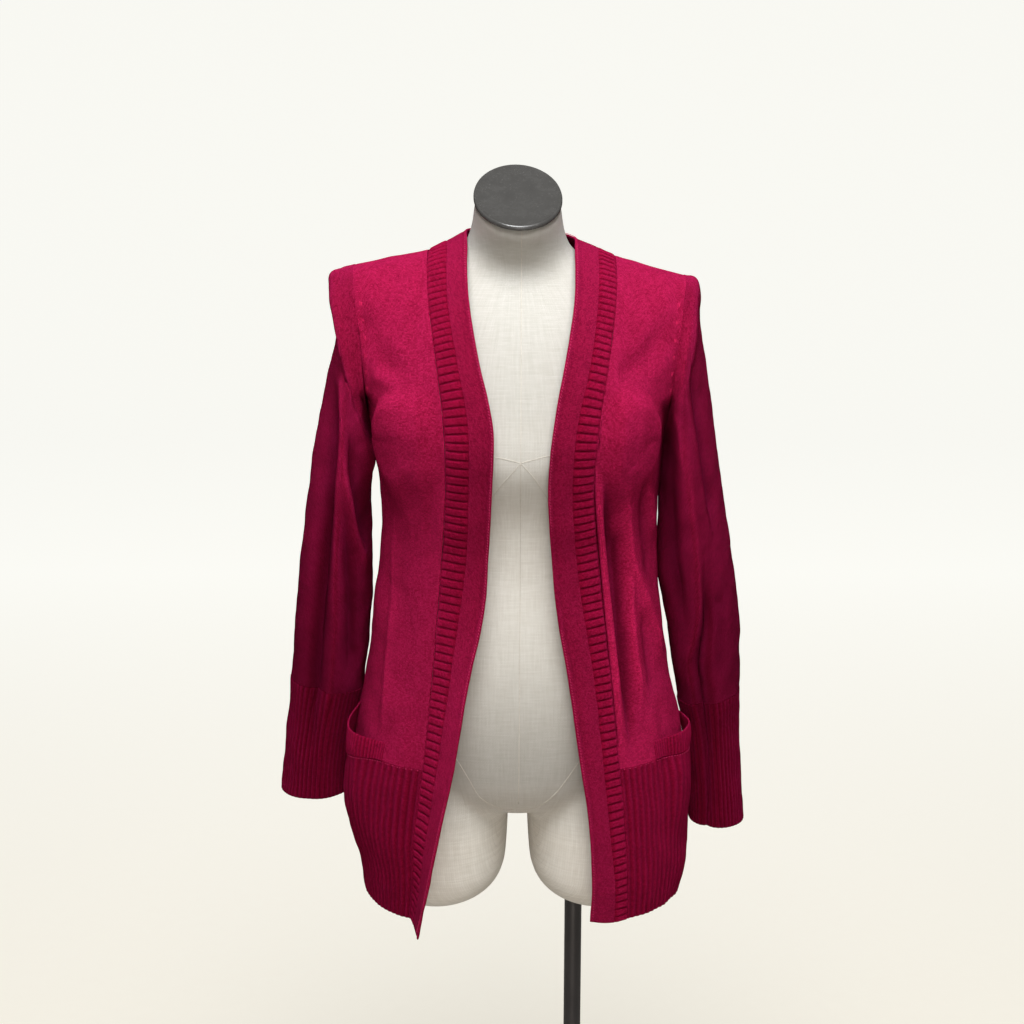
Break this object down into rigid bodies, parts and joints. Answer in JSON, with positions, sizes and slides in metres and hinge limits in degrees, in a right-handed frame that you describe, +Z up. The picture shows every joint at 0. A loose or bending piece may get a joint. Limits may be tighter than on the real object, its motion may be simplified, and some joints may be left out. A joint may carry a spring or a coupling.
{
  "type": "open-front cardigan on a limbless dress form",
  "caption": "Long-sleeved open-front knitted cardigan with ribbed band, hem and cuffs, worn by a linen dress form on a pole and round base.",
  "frame": {"origin": "centre of the round base's underside, on the floor", "axes": "+Z up the stand, the garment's open front faces -Y, +X to the viewer's right as seen from the front"},
  "size_m": [0.5685, 0.34, 1.4763],
  "materials": {
    "wool": "fine plain knit with a soft nap",
    "ribbing": "ribbed knit with a soft nap",
    "linen": "plain woven linen, stretched and matt",
    "cap": "gloss",
    "stand": "satin black"
  },
  "bodies": {
    "root": {"back_panel": "wool", "left_front_panel": "wool", "right_front_panel": "wool", "left_sleeve": "wool", "right_sleeve": "wool", "left_cuff": "ribbing", "right_cuff": "ribbing", "back_hem_ribbing": "ribbing", "left_hem_ribbing": "ribbing", "right_hem_ribbing": "ribbing", "band_ribbed_strip": "ribbing", "band_plain_strip": "ribbing", "left_pocket_band": "ribbing", "right_pocket_band": "ribbing", "left_pocket_bag": "wool", "right_pocket_bag": "wool", "form_torso": "linen", "neck_cap": "cap", "pole": "stand", "base_plate": "stand"}
  },
  "joints": []
}
